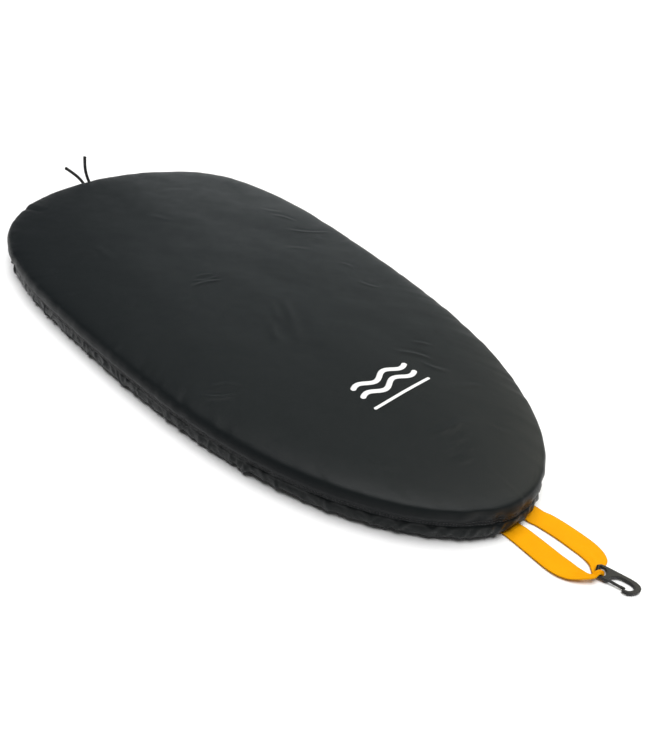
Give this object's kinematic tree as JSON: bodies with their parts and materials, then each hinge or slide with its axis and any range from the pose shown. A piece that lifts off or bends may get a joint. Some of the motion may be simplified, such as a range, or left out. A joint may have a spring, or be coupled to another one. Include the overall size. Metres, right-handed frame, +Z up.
{
  "type": "kayak cockpit cover",
  "caption": "Egg-shaped nylon kayak cockpit cover with an elastic cord hem, an orange webbing release loop with a plastic snap hook, and knotted cord tails.",
  "frame": {"origin": "centre of the cover's mouth, on the plane of the hem's underside", "axes": "+X to the bow end with the webbing loop, +Y to port, +Z up out of the panel"},
  "size_m": [1.0278, 0.436, 0.0778],
  "materials": {
    "nylon": "satin coated plain weave",
    "thread": "matt twisted polyester",
    "shock_cord": "braided cover",
    "webbing": "satin nylon webbing",
    "hook_plastic": "moulded acetal",
    "print": "matt ink"
  },
  "bodies": {
    "cover": {"top_panel": "nylon", "hem_casing": "nylon", "hem_thread_lower": "thread", "hem_thread_upper": "thread", "shock_cord": "shock_cord", "cord_knot": "shock_cord", "cord_tail_left": "shock_cord", "cord_tail_right": "shock_cord", "exit_bartacks": "thread", "strap_end_right": "webbing", "strap_end_left": "webbing", "strap_bartacks": "thread", "printed_mark": "print"},
    "strap": {"release_loop": "webbing"},
    "hook": {"snap_hook_body": "hook_plastic"},
    "tongue": {"snap_hook_gate": "hook_plastic"}
  },
  "joints": [
    {"name": "strap_lift", "type": "hinge", "parent": "cover", "child": "strap", "pos_m": [0.456, 0.012, 0.001], "axis": [0, -1, 0], "range_deg": [0, 90]},
    {"name": "hook_swing", "type": "hinge", "parent": "strap", "child": "hook", "pos_m": [0.526, 0.017, 0.0046], "axis": [0.3955, -0.9184, 0], "range_deg": [-45, 110]},
    {"name": "gate_flex", "type": "hinge", "parent": "hook", "child": "tongue", "pos_m": [0.53677, 0.01619, 0.00388], "axis": [0.0689, 0.0297, 0.9972], "range_deg": [0, 20], "stiffness_Nm_per_rad": 0.05}
  ]
}
